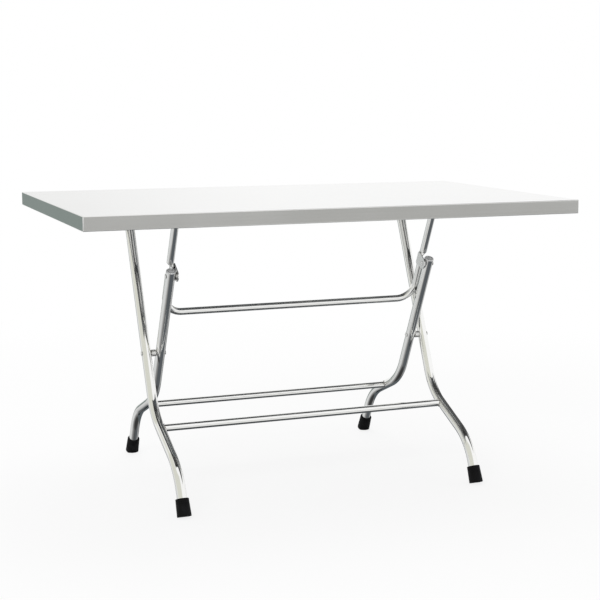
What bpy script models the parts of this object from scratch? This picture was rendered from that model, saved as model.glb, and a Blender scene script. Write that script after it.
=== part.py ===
# Folding table of stainless steel: a folded sheet top on two crossed pairs of bent tube legs.
# A U-shaped lock frame carries the rear legs' heads; pulled back past its dead centre, it folds the legs flat.
# Metres, +Z up, +X to the right along the top, +Y to the back. The origin is on the floor under the top's middle.

import math

import bmesh
import bpy
from mathutils import Matrix, Vector

# Driving dimensions: the whole table
TABLE_LENGTH = 1.300
TABLE_DEPTH = 0.750
TABLE_HEIGHT = 0.750
RUNNING_GAP = 0.0003
CUT_OVERRUN = 0.004

# Driving dimensions: the sheet top and the rails under it
SHEET_THICKNESS = 0.0012
EDGE_DEPTH = 0.035
EDGE_BEND_RADIUS = 0.0025
LIP_WIDTH = 0.018
RAIL_WEB_WIDTH = 0.036
RAIL_FLANGE_WIDTH = 0.012
RAIL_DEPTH = 0.018
RAIL_WALL = 0.0015
RAIL_END_INSET = 0.020

# Driving dimensions: hinge places, seen from the side
HINGE_DROP = 0.042
FRONT_LEG_HINGE_Y = 0.1852
LOCK_HINGE_Y = -0.1214
LOCK_PIVOT_BEHIND_HINGE = 0.0359
LOCK_PIVOT_BELOW_HINGE = 0.145

# Driving dimensions: the legs
LEG_TUBE_DIAMETER = 0.0254
LEG_TUBE_WALL = 0.0012
LEG_BEND_RADIUS = 0.150
LEG_BEND_ANGLE = math.radians(41.5)
FRONT_LEG_X = 0.402
FRONT_LEG_LEAN = math.radians(25.0)
FRONT_FOOT_REACH = 0.3145
FRONT_FOOT_STRAIGHT = 0.0626
FRONT_LEG_HEAD = 0.009
REAR_LEG_LEAN = math.radians(25.45)
REAR_FOOT_REACH = 0.332
REAR_FOOT_STRAIGHT = 0.0875
REAR_LEG_HEAD = 0.013
LEG_SPACER_LENGTH = 0.012

# Driving dimensions: the thin tubes
THIN_TUBE_DIAMETER = 0.019
THIN_TUBE_WALL = 0.0012
FRONT_CROSSBAR_PAST_BEND = 0.005
REAR_CROSSBAR_BEFORE_BEND = 0.054
LOCK_ARM_LENGTH = 0.2785
LOCK_CORNER_RADIUS = 0.048
LOCK_ARM_HEAD = 0.0095
CRIMP_FLAT_LENGTH = 0.030
CRIMP_FADE_LENGTH = 0.014
CRIMP_FLATTEN_SHARE = 0.50
CRIMP_SPREAD_SHARE = 0.18

# Driving dimensions: brackets, plates, pins and rivets
BRACKET_THICKNESS = 0.002
BRACKET_DEPTH = 0.030
BRACKET_FLANGE = 0.016
EAR_CLEARANCE = 0.0006
EAR_RADIUS = 0.0125
HINGE_PIN_DIAMETER = 0.008
HINGE_PIN_HEAD_DIAMETER = 0.015
HINGE_PIN_HEAD_HEIGHT = 0.003
BRACKET_RIVET_DIAMETER = 0.004
BRACKET_RIVET_HEAD_DIAMETER = 0.008
BRACKET_RIVET_HEAD_HEIGHT = 0.0018
LOCK_PLATE_THICKNESS = 0.003
LOCK_PLATE_NOSE_RADIUS = 0.015
LOCK_PLATE_LENGTH = 0.038
LOCK_PLATE_PAST_ARM = 0.004
LOCK_PLATE_CORNER_RADIUS = 0.005
PIVOT_PIN_DIAMETER = 0.008
PIVOT_HEAD_DIAMETER = 0.014
PIVOT_HEAD_HEIGHT = 0.0018
WASHER_THICKNESS = 0.002
WASHER_DIAMETER = 0.020
SPACER_DIAMETER = 0.018
STOP_DIAMETER = 0.009
STOP_BELOW_PIVOT = 0.098
STOP_EDGE_RADIUS = 0.001

# Driving dimensions: rubber feet and end plugs
FOOT_WALL = 0.0038
FOOT_FLARE = 0.0013
FOOT_RIM_RADIUS = 0.0012
FOOT_LENGTH = 0.048
FOOT_SOLE = 0.014
FOOT_END_ABOVE_FLOOR = 0.0044
PLUG_STEM_LENGTH = 0.007
PLUG_FLANGE_HEIGHT = 0.0012
PLUG_DOME_HEIGHT = 0.0038
PLUG_DOME_INSET = 0.002

# How finely the round shapes are divided
LEG_BEVEL_RESOLUTION = 6
THIN_BEVEL_RESOLUTION = 4
BEND_STEPS = 5
CORNER_STEPS = 6
CRIMP_STEPS = 4
SMALL_TURNED_STEPS = 12
FOOT_TURNED_STEPS = 20
RIVET_TURNED_STEPS = 8
CUTTER_SIDES = 16
ARC_STEPS = 8
DOME_STEPS = 3
MERGE_DISTANCE = 0.00001
SMOOTH_LIMIT = math.radians(35)
STEEP_FOLD = math.radians(45)

# Values worked out from the driving dimensions
LEG_RADIUS = LEG_TUBE_DIAMETER / 2
THIN_RADIUS = THIN_TUBE_DIAMETER / 2
HINGE_Z = TABLE_HEIGHT - HINGE_DROP
RAIL_TOP_Z = TABLE_HEIGHT - SHEET_THICKNESS - RUNNING_GAP
RAIL_UNDERSIDE_Z = RAIL_TOP_Z - RAIL_DEPTH
BRACKET_TOP_Z = RAIL_UNDERSIDE_Z - RUNNING_GAP
BRACKET_UNDERSIDE_Z = BRACKET_TOP_Z - BRACKET_THICKNESS
FRONT_HINGE = Vector((0, FRONT_LEG_HINGE_Y, HINGE_Z))
LOCK_HINGE = Vector((0, LOCK_HINGE_Y, HINGE_Z))
HINGE_TO_PIVOT = Vector((0, LOCK_PIVOT_BEHIND_HINGE, -LOCK_PIVOT_BELOW_HINGE))
LOCK_PIVOT = LOCK_HINGE + HINGE_TO_PIVOT
FRONT_DOWN = Vector((0, -math.sin(FRONT_LEG_LEAN), -math.cos(FRONT_LEG_LEAN)))
FRONT_OUT = Vector((0, -math.cos(FRONT_LEG_LEAN), math.sin(FRONT_LEG_LEAN)))
REAR_DOWN = Vector((0, math.sin(REAR_LEG_LEAN), -math.cos(REAR_LEG_LEAN)))
REAR_OUT = Vector((0, math.cos(REAR_LEG_LEAN), math.sin(REAR_LEG_LEAN)))
PIVOT_ALONG_ARM = HINGE_TO_PIVOT.dot(REAR_DOWN)
ARM_BEHIND_PIVOT = -HINGE_TO_PIVOT.dot(REAR_OUT)

# Distances along X from the table's middle, worked out from the front leg inwards
FRONT_LEG_INNER_X = FRONT_LEG_X - LEG_RADIUS
FRONT_LEG_OUTER_X = FRONT_LEG_X + LEG_RADIUS
REAR_LEG_OUTER_X = FRONT_LEG_INNER_X - LEG_SPACER_LENGTH - 2 * RUNNING_GAP
REAR_LEG_X = REAR_LEG_OUTER_X - LEG_RADIUS
REAR_LEG_INNER_X = REAR_LEG_X - LEG_RADIUS
WASHER_INNER_X = REAR_LEG_INNER_X - RUNNING_GAP - WASHER_THICKNESS
LOCK_PLATE_OUTER_X = WASHER_INNER_X - RUNNING_GAP
LOCK_PLATE_INNER_X = LOCK_PLATE_OUTER_X - LOCK_PLATE_THICKNESS
LOCK_ARM_X = LOCK_PLATE_OUTER_X + RUNNING_GAP + THIN_RADIUS

SIDES = (("left", -1), ("right", 1))
TURN_TO_X = (0, math.pi / 2, 0)

# Carries a flat outline from the XY plane into the YZ plane, with its thickness along X
OUTLINE_TO_SIDE = Matrix(((0, 0, 1, 0), (1, 0, 0, 0), (0, 1, 0, 0), (0, 0, 0, 1)))


# Scene, collections and materials

def clear_scene():
    for obj in list(bpy.data.objects):
        bpy.data.objects.remove(obj, do_unlink=True)


def new_collection(name):
    collection = bpy.data.collections.new(name)
    bpy.context.scene.collection.children.link(collection)
    return collection


def new_material(name, color, roughness, metallic):
    material = bpy.data.materials.new(name)
    material.use_nodes = True
    shader = material.node_tree.nodes["Principled BSDF"]
    shader.inputs["Base Color"].default_value = (*color, 1.0)
    shader.inputs["Roughness"].default_value = roughness
    shader.inputs["Metallic"].default_value = metallic
    material.diffuse_color = (*color, 1.0)
    return material


clear_scene()
PARTS = new_collection("folding_table")
CUTTERS = new_collection("cutters")
MATERIALS = {
    "top": new_material("satin_stainless_sheet", (0.72, 0.72, 0.70), 0.28, 1.0),
    "rail": new_material("folded_stainless", (0.66, 0.66, 0.65), 0.38, 1.0),
    "leg": new_material("polished_leg_tube", (0.80, 0.80, 0.78), 0.12, 1.0),
    "thin_tube": new_material("polished_thin_tube", (0.82, 0.82, 0.80), 0.10, 1.0),
    "bracket": new_material("pressed_steel", (0.62, 0.62, 0.61), 0.35, 1.0),
    "rivet": new_material("rivet_steel", (0.58, 0.58, 0.57), 0.25, 1.0),
    "rubber": new_material("black_rubber", (0.025, 0.025, 0.027), 0.75, 0.0),
    "plug": new_material("grey_plug", (0.45, 0.46, 0.47), 0.35, 0.0),
}


# Adding objects and modifiers

def link(obj, collection, parent, location, rotation):
    collection.objects.link(obj)
    obj.parent = parent
    obj.location = location
    obj.rotation_euler = rotation
    return obj


def add_part(name, mesh, material, parent=None, location=(0, 0, 0), rotation=(0, 0, 0)):
    mesh.materials.clear()
    mesh.materials.append(MATERIALS[material])
    mesh.shade_smooth()
    mesh.set_sharp_from_angle(angle=SMOOTH_LIMIT)
    return link(bpy.data.objects.new(name, mesh), PARTS, parent, location, rotation)


def add_cutter(name, mesh, parent=None, location=(0, 0, 0), rotation=(0, 0, 0)):
    cutter = link(bpy.data.objects.new(name, mesh), CUTTERS, parent, location, rotation)
    cutter.hide_render = True
    cutter.display_type = "WIRE"
    return cutter


def add_axis(name, location, parent=None):
    axis = bpy.data.objects.new(name, None)
    return link(axis, bpy.context.scene.collection, parent, location, (0, 0, 0))


def boolean(target, cutter, operation="DIFFERENCE"):
    modifier = target.modifiers.new(operation.lower(), "BOOLEAN")
    modifier.operation = operation
    modifier.object = cutter
    modifier.solver = "EXACT"


def solidify(obj, wall):
    modifier = obj.modifiers.new("wall", "SOLIDIFY")
    modifier.thickness = wall
    modifier.offset = -1.0
    modifier.use_even_offset = True
    modifier.use_rim = True


# Making meshes

def mesh_of(shape, name):
    mesh = bpy.data.meshes.new(name)
    shape.to_mesh(mesh)
    shape.free()
    return mesh


def mesh_from_curve(curve, name):
    """Turns a curve into a plain mesh with its caps welded on."""
    holder = bpy.data.objects.new(name + "_curve", curve)
    bpy.context.scene.collection.objects.link(holder)
    bpy.context.view_layer.update()
    evaluated = holder.evaluated_get(bpy.context.evaluated_depsgraph_get())
    mesh = bpy.data.meshes.new_from_object(evaluated)
    bpy.data.objects.remove(holder, do_unlink=True)
    welded = bmesh.new()
    welded.from_mesh(mesh)
    bmesh.ops.remove_doubles(welded, verts=welded.verts, dist=MERGE_DISTANCE)
    bmesh.ops.recalc_face_normals(welded, faces=welded.faces)
    return mesh_of(welded, name)


def tube_mesh(name, points, radius, resolution, capped=False):
    """A round tube's outer skin along a path, open at both ends unless it is capped."""
    curve = bpy.data.curves.new(name, "CURVE")
    curve.dimensions = "3D"
    curve.bevel_depth = radius
    curve.bevel_resolution = resolution
    curve.use_fill_caps = capped
    spline = curve.splines.new("POLY")
    spline.points.add(len(points) - 1)
    for spline_point, point in zip(spline.points, points):
        spline_point.co = (*point, 1.0)
    return mesh_from_curve(curve, name)


def side_mesh(name, outlines, thickness):
    """A flat piece in the YZ plane, centred on X: the first outline is its edge, the others are holes."""
    curve = bpy.data.curves.new(name, "CURVE")
    curve.dimensions = "2D"
    curve.fill_mode = "BOTH"
    curve.extrude = thickness / 2
    for outline in outlines:
        spline = curve.splines.new("POLY")
        spline.points.add(len(outline) - 1)
        spline.use_cyclic_u = True
        for spline_point, (across, up) in zip(spline.points, outline):
            spline_point.co = (across, up, 0, 1.0)
    mesh = mesh_from_curve(curve, name)
    mesh.transform(OUTLINE_TO_SIDE)
    return mesh


def arc_points(center, radius, start, end, steps):
    """Points of an arc in a plane, from one angle to another."""
    points = []
    for step in range(steps + 1):
        angle = start + (end - start) * step / steps
        points.append((center[0] + radius * math.cos(angle), center[1] + radius * math.sin(angle)))
    return points


def circle_points(radius):
    return arc_points((0, 0), radius, 0, math.tau, CUTTER_SIDES)[:-1]


def cylinder_mesh(name, radius, length):
    """A closed cylinder along Z, centred on its origin."""
    shape = bmesh.new()
    bmesh.ops.create_cone(shape, cap_ends=True, segments=CUTTER_SIDES, radius1=radius, radius2=radius, depth=length)
    return mesh_of(shape, name)


def box_mesh(name, size):
    shape = bmesh.new()
    bmesh.ops.create_cube(shape, size=1.0)
    bmesh.ops.scale(shape, vec=size, verts=shape.verts)
    return mesh_of(shape, name)


def without_repeats(profile):
    """Leaves out a profile point that lies on the one before it."""
    kept = [profile[0]]
    for point in profile[1:]:
        if math.dist(point, kept[-1]) > MERGE_DISTANCE:
            kept.append(point)
    return kept


def profile_mesh(name, profile):
    """The outline of a turned piece at +X, from its top to its bottom along Z."""
    points = [(radius, 0, height) for radius, height in without_repeats(profile)]
    edges = [(index, index + 1) for index in range(len(points) - 1)]
    mesh = bpy.data.meshes.new(name)
    mesh.from_pydata(points, edges, [])
    return mesh


def turn(obj, steps):
    screw = obj.modifiers.new("turn", "SCREW")
    screw.axis = "Z"
    screw.angle = math.tau
    screw.steps = steps
    screw.render_steps = steps
    screw.use_merge_vertices = True
    screw.merge_threshold = MERGE_DISTANCE
    screw.use_smooth_shade = True


def add_turned(name, profile, material, steps, parent=None, location=(0, 0, 0), rotation=(0, 0, 0)):
    part = add_part(name, profile_mesh(name, profile), material, parent, location, rotation)
    turn(part, steps)
    return part


def dome(radius, base, height):
    """Profile points of a low dome, from its top on the axis out to its rim."""
    points = [(0, base + height)]
    for step in range(1, DOME_STEPS + 1):
        angle = math.pi / 2 * (1 - step / DOME_STEPS)
        points.append((radius * math.cos(angle), base + height * math.sin(angle)))
    return points


def upside_down(profile):
    return [(radius, -height) for radius, height in reversed(profile)]


def bore(target, center, diameter, length, rotation=TURN_TO_X):
    """Cuts a round hole through a part, centred on a point in the part's own frame."""
    name = target.name + "_bore_" + str(len(target.modifiers))
    mesh = cylinder_mesh(name, diameter / 2 + RUNNING_GAP, length)
    boolean(target, add_cutter(name, mesh, target, center, rotation))


# The sheet top: one sheet folded down on four sides and turned in under the edge

def make_table_top():
    shape = bmesh.new()
    bmesh.ops.create_cube(shape, size=1.0)
    bmesh.ops.scale(shape, vec=(TABLE_LENGTH, TABLE_DEPTH, EDGE_DEPTH), verts=shape.verts)
    bmesh.ops.translate(shape, vec=(0, 0, -EDGE_DEPTH / 2), verts=shape.verts)
    shape.normal_update()
    underside = min(shape.faces, key=lambda face: face.normal.z)
    bmesh.ops.delete(shape, geom=[underside], context="FACES_ONLY")
    rim = [edge for edge in shape.edges if edge.is_boundary]
    lip = bmesh.ops.extrude_edge_only(shape, edges=rim)
    for vertex in [item for item in lip["geom"] if isinstance(item, bmesh.types.BMVert)]:
        vertex.co.x -= math.copysign(LIP_WIDTH, vertex.co.x)
        vertex.co.y -= math.copysign(LIP_WIDTH, vertex.co.y)
    bmesh.ops.recalc_face_normals(shape, faces=shape.faces)
    folds = [edge for edge in shape.edges if edge.is_manifold and edge.calc_face_angle() > STEEP_FOLD]
    bmesh.ops.bevel(shape, geom=folds, offset=EDGE_BEND_RADIUS, segments=3, profile=0.5, affect="EDGES")
    top = add_part("table_top", mesh_of(shape, "table_top"), "top", location=(0, 0, TABLE_HEIGHT))
    solidify(top, SHEET_THICKNESS)


def rail_outline():
    """Cross-section of a hat-shaped rail: closed at the bottom, with a flange at each side of its top."""
    web = RAIL_WEB_WIDTH / 2
    flange = web + RAIL_FLANGE_WIDTH
    inner = web - RAIL_WALL
    floor = RAIL_WALL - RAIL_DEPTH
    return [(-flange, 0), (-flange, -RAIL_WALL), (-web, -RAIL_WALL), (-web, -RAIL_DEPTH),
            (web, -RAIL_DEPTH), (web, -RAIL_WALL), (flange, -RAIL_WALL), (flange, 0),
            (inner, 0), (inner, floor), (-inner, floor), (-inner, 0)]


def make_rail(name, hinge, leg_x, tube_radius):
    length = TABLE_LENGTH - 2 * (SHEET_THICKNESS + RAIL_END_INSET)
    mesh = side_mesh(name, [rail_outline()], length)
    rail = add_part(name, mesh, "rail", location=(0, hinge.y, RAIL_TOP_Z))
    for rivet_x in rivet_places(leg_x, tube_radius):
        place = (rivet_x, 0, RAIL_WALL / 2 - RAIL_DEPTH)
        bore(rail, place, BRACKET_RIVET_DIAMETER, RAIL_WALL + CUT_OVERRUN, (0, 0, 0))


# Hinge brackets: a flanged plate under the rail with two round-ended ears

def ear_half_gap(tube_radius):
    return tube_radius + EAR_CLEARANCE


def rivet_offset(tube_radius):
    return ear_half_gap(tube_radius) + BRACKET_THICKNESS + BRACKET_FLANGE / 2


def rivet_places(leg_x, tube_radius):
    """Where the rivets of both brackets on one rail stand along X."""
    offset = rivet_offset(tube_radius)
    return [side * leg_x + shift for name, side in SIDES for shift in (-offset, offset)]


def ear_outlines(root):
    """A bracket ear in the YZ plane with its pin hole round the origin and its root above."""
    half = BRACKET_DEPTH / 2
    edge = [(half, root), (-half, root)]
    edge += arc_points((0, 0), EAR_RADIUS, -math.pi, 0, ARC_STEPS)
    return [edge, circle_points(HINGE_PIN_DIAMETER / 2 + RUNNING_GAP)]


def make_bracket(name, leg_x, hinge, tube_radius):
    half_gap = ear_half_gap(tube_radius)
    plate_middle = BRACKET_TOP_Z - BRACKET_THICKNESS / 2 - hinge.z
    plate_width = 2 * (half_gap + BRACKET_THICKNESS + BRACKET_FLANGE)
    plate = box_mesh(name, (plate_width, BRACKET_DEPTH, BRACKET_THICKNESS))
    plate.transform(Matrix.Translation((0, 0, plate_middle)))
    bracket = add_part(name, plate, "bracket", location=(leg_x, hinge.y, hinge.z))
    for side_name, side in SIDES:
        ear_name = name + "_ear_" + side_name
        ear = side_mesh(ear_name, ear_outlines(plate_middle), BRACKET_THICKNESS)
        ear_x = side * (half_gap + BRACKET_THICKNESS / 2)
        boolean(bracket, add_cutter(ear_name, ear, bracket, (ear_x, 0, 0)), "UNION")
    for side_name, side in SIDES:
        place = (side * rivet_offset(tube_radius), 0, plate_middle)
        bore(bracket, place, BRACKET_RIVET_DIAMETER, BRACKET_THICKNESS + CUT_OVERRUN, (0, 0, 0))


def make_two_headed_pin(name, half_length, diameter, head, place, parent=None):
    """A rivet along X with a domed head at each end: its half length is measured under the heads."""
    head_diameter, head_height = head
    upper = dome(head_diameter / 2, half_length, head_height)
    upper.append((diameter / 2, half_length))
    add_turned(name, upper + upside_down(upper), "rivet", SMALL_TURNED_STEPS, parent, place, TURN_TO_X)


def make_hinge_pin(name, leg_x, hinge, tube_radius):
    half_length = ear_half_gap(tube_radius) + BRACKET_THICKNESS + RUNNING_GAP
    head = (HINGE_PIN_HEAD_DIAMETER, HINGE_PIN_HEAD_HEIGHT)
    make_two_headed_pin(name, half_length, HINGE_PIN_DIAMETER, head, (leg_x, hinge.y, hinge.z))


def make_bracket_rivet(name, place_x, place_y):
    """A short rivet through a bracket's flange and the rail's web, with its head below."""
    underside = BRACKET_UNDERSIDE_Z - RUNNING_GAP
    tail = RAIL_UNDERSIDE_Z + RAIL_WALL + RUNNING_GAP
    shank = BRACKET_RIVET_DIAMETER / 2
    head = BRACKET_RIVET_HEAD_DIAMETER / 2
    profile = dome((shank + head) / 2, tail, BRACKET_RIVET_HEAD_HEIGHT / 2)
    profile += [(shank, tail), (shank, underside)]
    profile += upside_down(dome(head, -underside, BRACKET_RIVET_HEAD_HEIGHT))
    heights = [(radius, height - underside) for radius, height in profile]
    add_turned(name, heights, "rivet", RIVET_TURNED_STEPS, location=(place_x, place_y, underside))


# Legs: a straight upper run, a bend outwards, a short middle run, a bend back and a straight foot

def leg_layout(down, out, pivot, foot_y, foot_straight):
    """Lengths along and across a leg, from its pivot to the floor, that set its two bends."""
    reach = Vector((0, foot_y, 0)) - pivot
    along = reach.dot(down)
    across = reach.dot(out)
    bend_along = LEG_BEND_RADIUS * math.sin(LEG_BEND_ANGLE)
    bend_across = LEG_BEND_RADIUS * (1 - math.cos(LEG_BEND_ANGLE))
    middle = (across - 2 * bend_across) / math.sin(LEG_BEND_ANGLE)
    upper = along - foot_straight - 2 * bend_along - middle * math.cos(LEG_BEND_ANGLE)
    first_end = down * (upper + bend_along) + out * bend_across
    run = down * math.cos(LEG_BEND_ANGLE) + out * math.sin(LEG_BEND_ANGLE)
    return {"down": down, "out": out, "upper": upper, "first_end": first_end, "run": run,
            "second_start": first_end + run * middle, "floor": reach, "foot_straight": foot_straight}


def leg_path(layout, head):
    """The leg's centre line from its head to the end inside its rubber foot."""
    down = layout["down"]
    out = layout["out"]
    first_center = down * layout["upper"] + out * LEG_BEND_RADIUS
    second_center = layout["floor"] - down * layout["foot_straight"] - out * LEG_BEND_RADIUS
    points = [down * -head]
    for step in range(BEND_STEPS + 1):
        angle = LEG_BEND_ANGLE * step / BEND_STEPS
        points.append(first_center + (down * math.sin(angle) - out * math.cos(angle)) * LEG_BEND_RADIUS)
    for step in range(BEND_STEPS + 1):
        angle = LEG_BEND_ANGLE * (1 - step / BEND_STEPS)
        points.append(second_center + (out * math.cos(angle) - down * math.sin(angle)) * LEG_BEND_RADIUS)
    points.append(layout["floor"] - down * FOOT_SOLE)
    return points


def make_leg(name, path, leg_x, side, parent):
    leg = add_part(name, tube_mesh(name, path, LEG_RADIUS, LEG_BEVEL_RESOLUTION), "leg",
                   parent, (side * leg_x, 0, 0))
    solidify(leg, LEG_TUBE_WALL)
    return leg


def make_crossbar(name, center, path, leg_x, parent):
    """A thin tube between two legs, its ends notched to fit round them."""
    skin = tube_mesh(name, [(-leg_x, 0, 0), (leg_x, 0, 0)], THIN_RADIUS, THIN_BEVEL_RESOLUTION)
    bar = add_part(name, skin, "thin_tube", parent, center)
    solidify(bar, THIN_TUBE_WALL)
    for side_name, side in SIDES:
        notch_name = name + "_notch_" + side_name
        notch = tube_mesh(notch_name, path, LEG_RADIUS + RUNNING_GAP, LEG_BEVEL_RESOLUTION, capped=True)
        boolean(bar, add_cutter(notch_name, notch, parent, (side * leg_x, 0, 0)))


def make_foot(name, layout, leg_x, side, parent, floor_cutter):
    """A tapered rubber cup square on the end of a leg, its edge cut level where it stands on the floor."""
    inner = LEG_RADIUS + RUNNING_GAP
    top = inner + FOOT_WALL
    bottom = top + FOOT_FLARE
    seat = FOOT_SOLE - RUNNING_GAP
    rim = FOOT_RIM_RADIUS
    profile = [(0, seat), (inner, seat), (inner, FOOT_LENGTH)]
    profile += reversed(arc_points((top - rim, FOOT_LENGTH - rim), rim, 0, math.pi / 2, DOME_STEPS))
    profile += [(bottom, FOOT_END_ABOVE_FLOOR), (0, FOOT_END_ABOVE_FLOOR)]
    tilt = math.atan2(layout["down"].y, -layout["down"].z)
    foot = add_turned(name, profile, "rubber", FOOT_TURNED_STEPS, parent,
                      layout["floor"] + Vector((side * leg_x, 0, 0)), (tilt, 0, 0))
    boolean(foot, floor_cutter)


# Rivets, spacers and washers

def make_crossing_rivet(name, head_x, tip_x, side, place, parent):
    """A rivet along X with its head at one distance from the table's middle and a plain tip at another."""
    length = abs(tip_x - head_x)
    shank = PIVOT_PIN_DIAMETER / 2
    profile = dome(PIVOT_HEAD_DIAMETER / 2, 0, PIVOT_HEAD_HEIGHT)
    profile += [(shank, 0), (shank, -length), (0, -length)]
    points_out = math.copysign(1, head_x - tip_x) * side
    add_turned(name, profile, "rivet", SMALL_TURNED_STEPS, parent,
               place + Vector((side * head_x, 0, 0)), (0, points_out * math.pi / 2, 0))


def make_ring(name, diameter, near_x, far_x, material, side, place, parent):
    """A washer or sleeve round a pivot rivet, between two distances from the table's middle."""
    outlines = [circle_points(diameter / 2), circle_points(PIVOT_PIN_DIAMETER / 2 + RUNNING_GAP)]
    mesh = side_mesh(name, outlines, far_x - near_x)
    middle = side * (near_x + far_x) / 2
    add_part(name, mesh, material, parent, place + Vector((middle, 0, 0)))


def crossing_place():
    """Where the straight runs of the front and the rear legs cross, seen from the side."""
    apart = LOCK_PIVOT - FRONT_HINGE
    crossed = FRONT_DOWN.y * REAR_DOWN.z - FRONT_DOWN.z * REAR_DOWN.y
    front_distance = (apart.y * REAR_DOWN.z - apart.z * REAR_DOWN.y) / crossed
    return FRONT_HINGE + FRONT_DOWN * front_distance


# Lock frame: one thin tube bent into a U, with its arms pressed flat where the pivot plates sit

def lock_frame_points():
    half_crimp = CRIMP_FLAT_LENGTH / 2
    stations = [-LOCK_ARM_HEAD, PIVOT_ALONG_ARM - half_crimp - CRIMP_FADE_LENGTH]
    for step in range(1, CRIMP_STEPS + 1):
        stations.append(stations[1] + CRIMP_FADE_LENGTH * step / CRIMP_STEPS)
    for step in range(CRIMP_STEPS + 1):
        stations.append(PIVOT_ALONG_ARM + half_crimp + CRIMP_FADE_LENGTH * step / CRIMP_STEPS)
    right_half = [(LOCK_ARM_X, station) for station in stations]
    center = (LOCK_ARM_X - LOCK_CORNER_RADIUS, LOCK_ARM_LENGTH - LOCK_CORNER_RADIUS)
    right_half += arc_points(center, LOCK_CORNER_RADIUS, 0, math.pi / 2, CORNER_STEPS)
    left_half = [(-across, along) for across, along in reversed(right_half)]
    points = []
    for across, along in right_half + left_half:
        points.append(Vector((across, 0, 0)) + REAR_DOWN * along)
    return points


def crimp_share(along):
    """How fully the arm is pressed at a distance along it: 1 in the crimp, fading to 0 beyond its ends."""
    past = abs(along - PIVOT_ALONG_ARM) - CRIMP_FLAT_LENGTH / 2
    fade = min(max(1 - past / CRIMP_FADE_LENGTH, 0), 1)
    return fade * fade * (3 - 2 * fade)


def make_lock_tube(parent):
    mesh = tube_mesh("lock_frame_tube", lock_frame_points(), THIN_RADIUS, THIN_BEVEL_RESOLUTION)
    arm_limit = LOCK_ARM_X - 2 * THIN_RADIUS
    for vertex in mesh.vertices:
        along = vertex.co.dot(REAR_DOWN)
        share = crimp_share(along)
        if share > 0 and abs(vertex.co.x) > arm_limit:
            side = math.copysign(1, vertex.co.x)
            from_inner = side * vertex.co.x - (LOCK_ARM_X - THIN_RADIUS)
            across = vertex.co.dot(REAR_OUT)
            vertex.co.x -= side * from_inner * CRIMP_FLATTEN_SHARE * share
            vertex.co += REAR_OUT * across * CRIMP_SPREAD_SHARE * share
    tube = add_part("lock_frame_tube", mesh, "thin_tube", parent)
    solidify(tube, THIN_TUBE_WALL)
    for side_name, side in SIDES:
        bore(tube, (side * LOCK_ARM_X, 0, 0), HINGE_PIN_DIAMETER, THIN_TUBE_DIAMETER + CUT_OVERRUN)


def plate_outlines():
    """The pivot plate: a round nose about the pivot, widening to the arm it is welded to."""
    back = ARM_BEHIND_PIVOT + LOCK_PLATE_PAST_ARM
    half = LOCK_PLATE_LENGTH / 2
    corner = LOCK_PLATE_CORNER_RADIUS
    edge = arc_points((0, 0), LOCK_PLATE_NOSE_RADIUS, math.pi / 2, 3 * math.pi / 2, ARC_STEPS)
    edge += arc_points((back - corner, corner - half), corner, -math.pi / 2, 0, DOME_STEPS)
    edge += arc_points((back - corner, half - corner), corner, 0, math.pi / 2, DOME_STEPS)
    return [edge, circle_points(PIVOT_PIN_DIAMETER / 2 + RUNNING_GAP)]


def make_lock_plate(name, side, parent):
    mesh = side_mesh(name, plate_outlines(), LOCK_PLATE_THICKNESS)
    plate_x = side * (LOCK_PLATE_INNER_X + LOCK_PLATE_OUTER_X) / 2
    place = HINGE_TO_PIVOT + Vector((plate_x, 0, 0))
    add_part(name, mesh, "bracket", parent, place, (REAR_LEG_LEAN, 0, 0))


# Rear leg fittings: domed plugs in the open heads and rubber stops for the lock frame's arms

def make_plug(name, side, parent):
    stem = LEG_RADIUS - LEG_TUBE_WALL - RUNNING_GAP
    flange_low = RUNNING_GAP
    flange_high = flange_low + PLUG_FLANGE_HEIGHT
    profile = dome(LEG_RADIUS - PLUG_DOME_INSET, flange_high, PLUG_DOME_HEIGHT)
    profile += [(LEG_RADIUS, flange_high), (LEG_RADIUS, flange_low), (stem, flange_low)]
    profile += [(stem, -PLUG_STEM_LENGTH), (0, -PLUG_STEM_LENGTH)]
    place = Vector((side * REAR_LEG_X, 0, 0)) - REAR_DOWN * REAR_LEG_HEAD
    add_turned(name, profile, "plug", SMALL_TURNED_STEPS, parent, place, (REAR_LEG_LEAN, 0, 0))


def make_stop(name, side, parent):
    """A rubber button on the back of a rear leg, for the lock frame's arm to rest on."""
    base = LEG_RADIUS + RUNNING_GAP
    tip = ARM_BEHIND_PIVOT - THIN_RADIUS - RUNNING_GAP
    radius = STOP_DIAMETER / 2
    edge = STOP_EDGE_RADIUS
    profile = [(0, tip), (radius - edge, tip), (radius, tip - edge), (radius, base), (0, base)]
    middle = side * (REAR_LEG_X + LOCK_ARM_X) / 2
    place = Vector((middle, 0, 0)) + REAR_DOWN * STOP_BELOW_PIVOT
    add_turned(name, profile, "rubber", SMALL_TURNED_STEPS, parent, place,
               (REAR_LEG_LEAN - math.pi / 2, 0, 0))


# The axes that the moving pieces turn on

front_axis = add_axis("front_leg_axis", FRONT_HINGE)
lock_axis = add_axis("lock_frame_axis", LOCK_HINGE)
rear_axis = add_axis("rear_leg_axis", HINGE_TO_PIVOT, lock_axis)

# The top with its rails and hinge brackets

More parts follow.
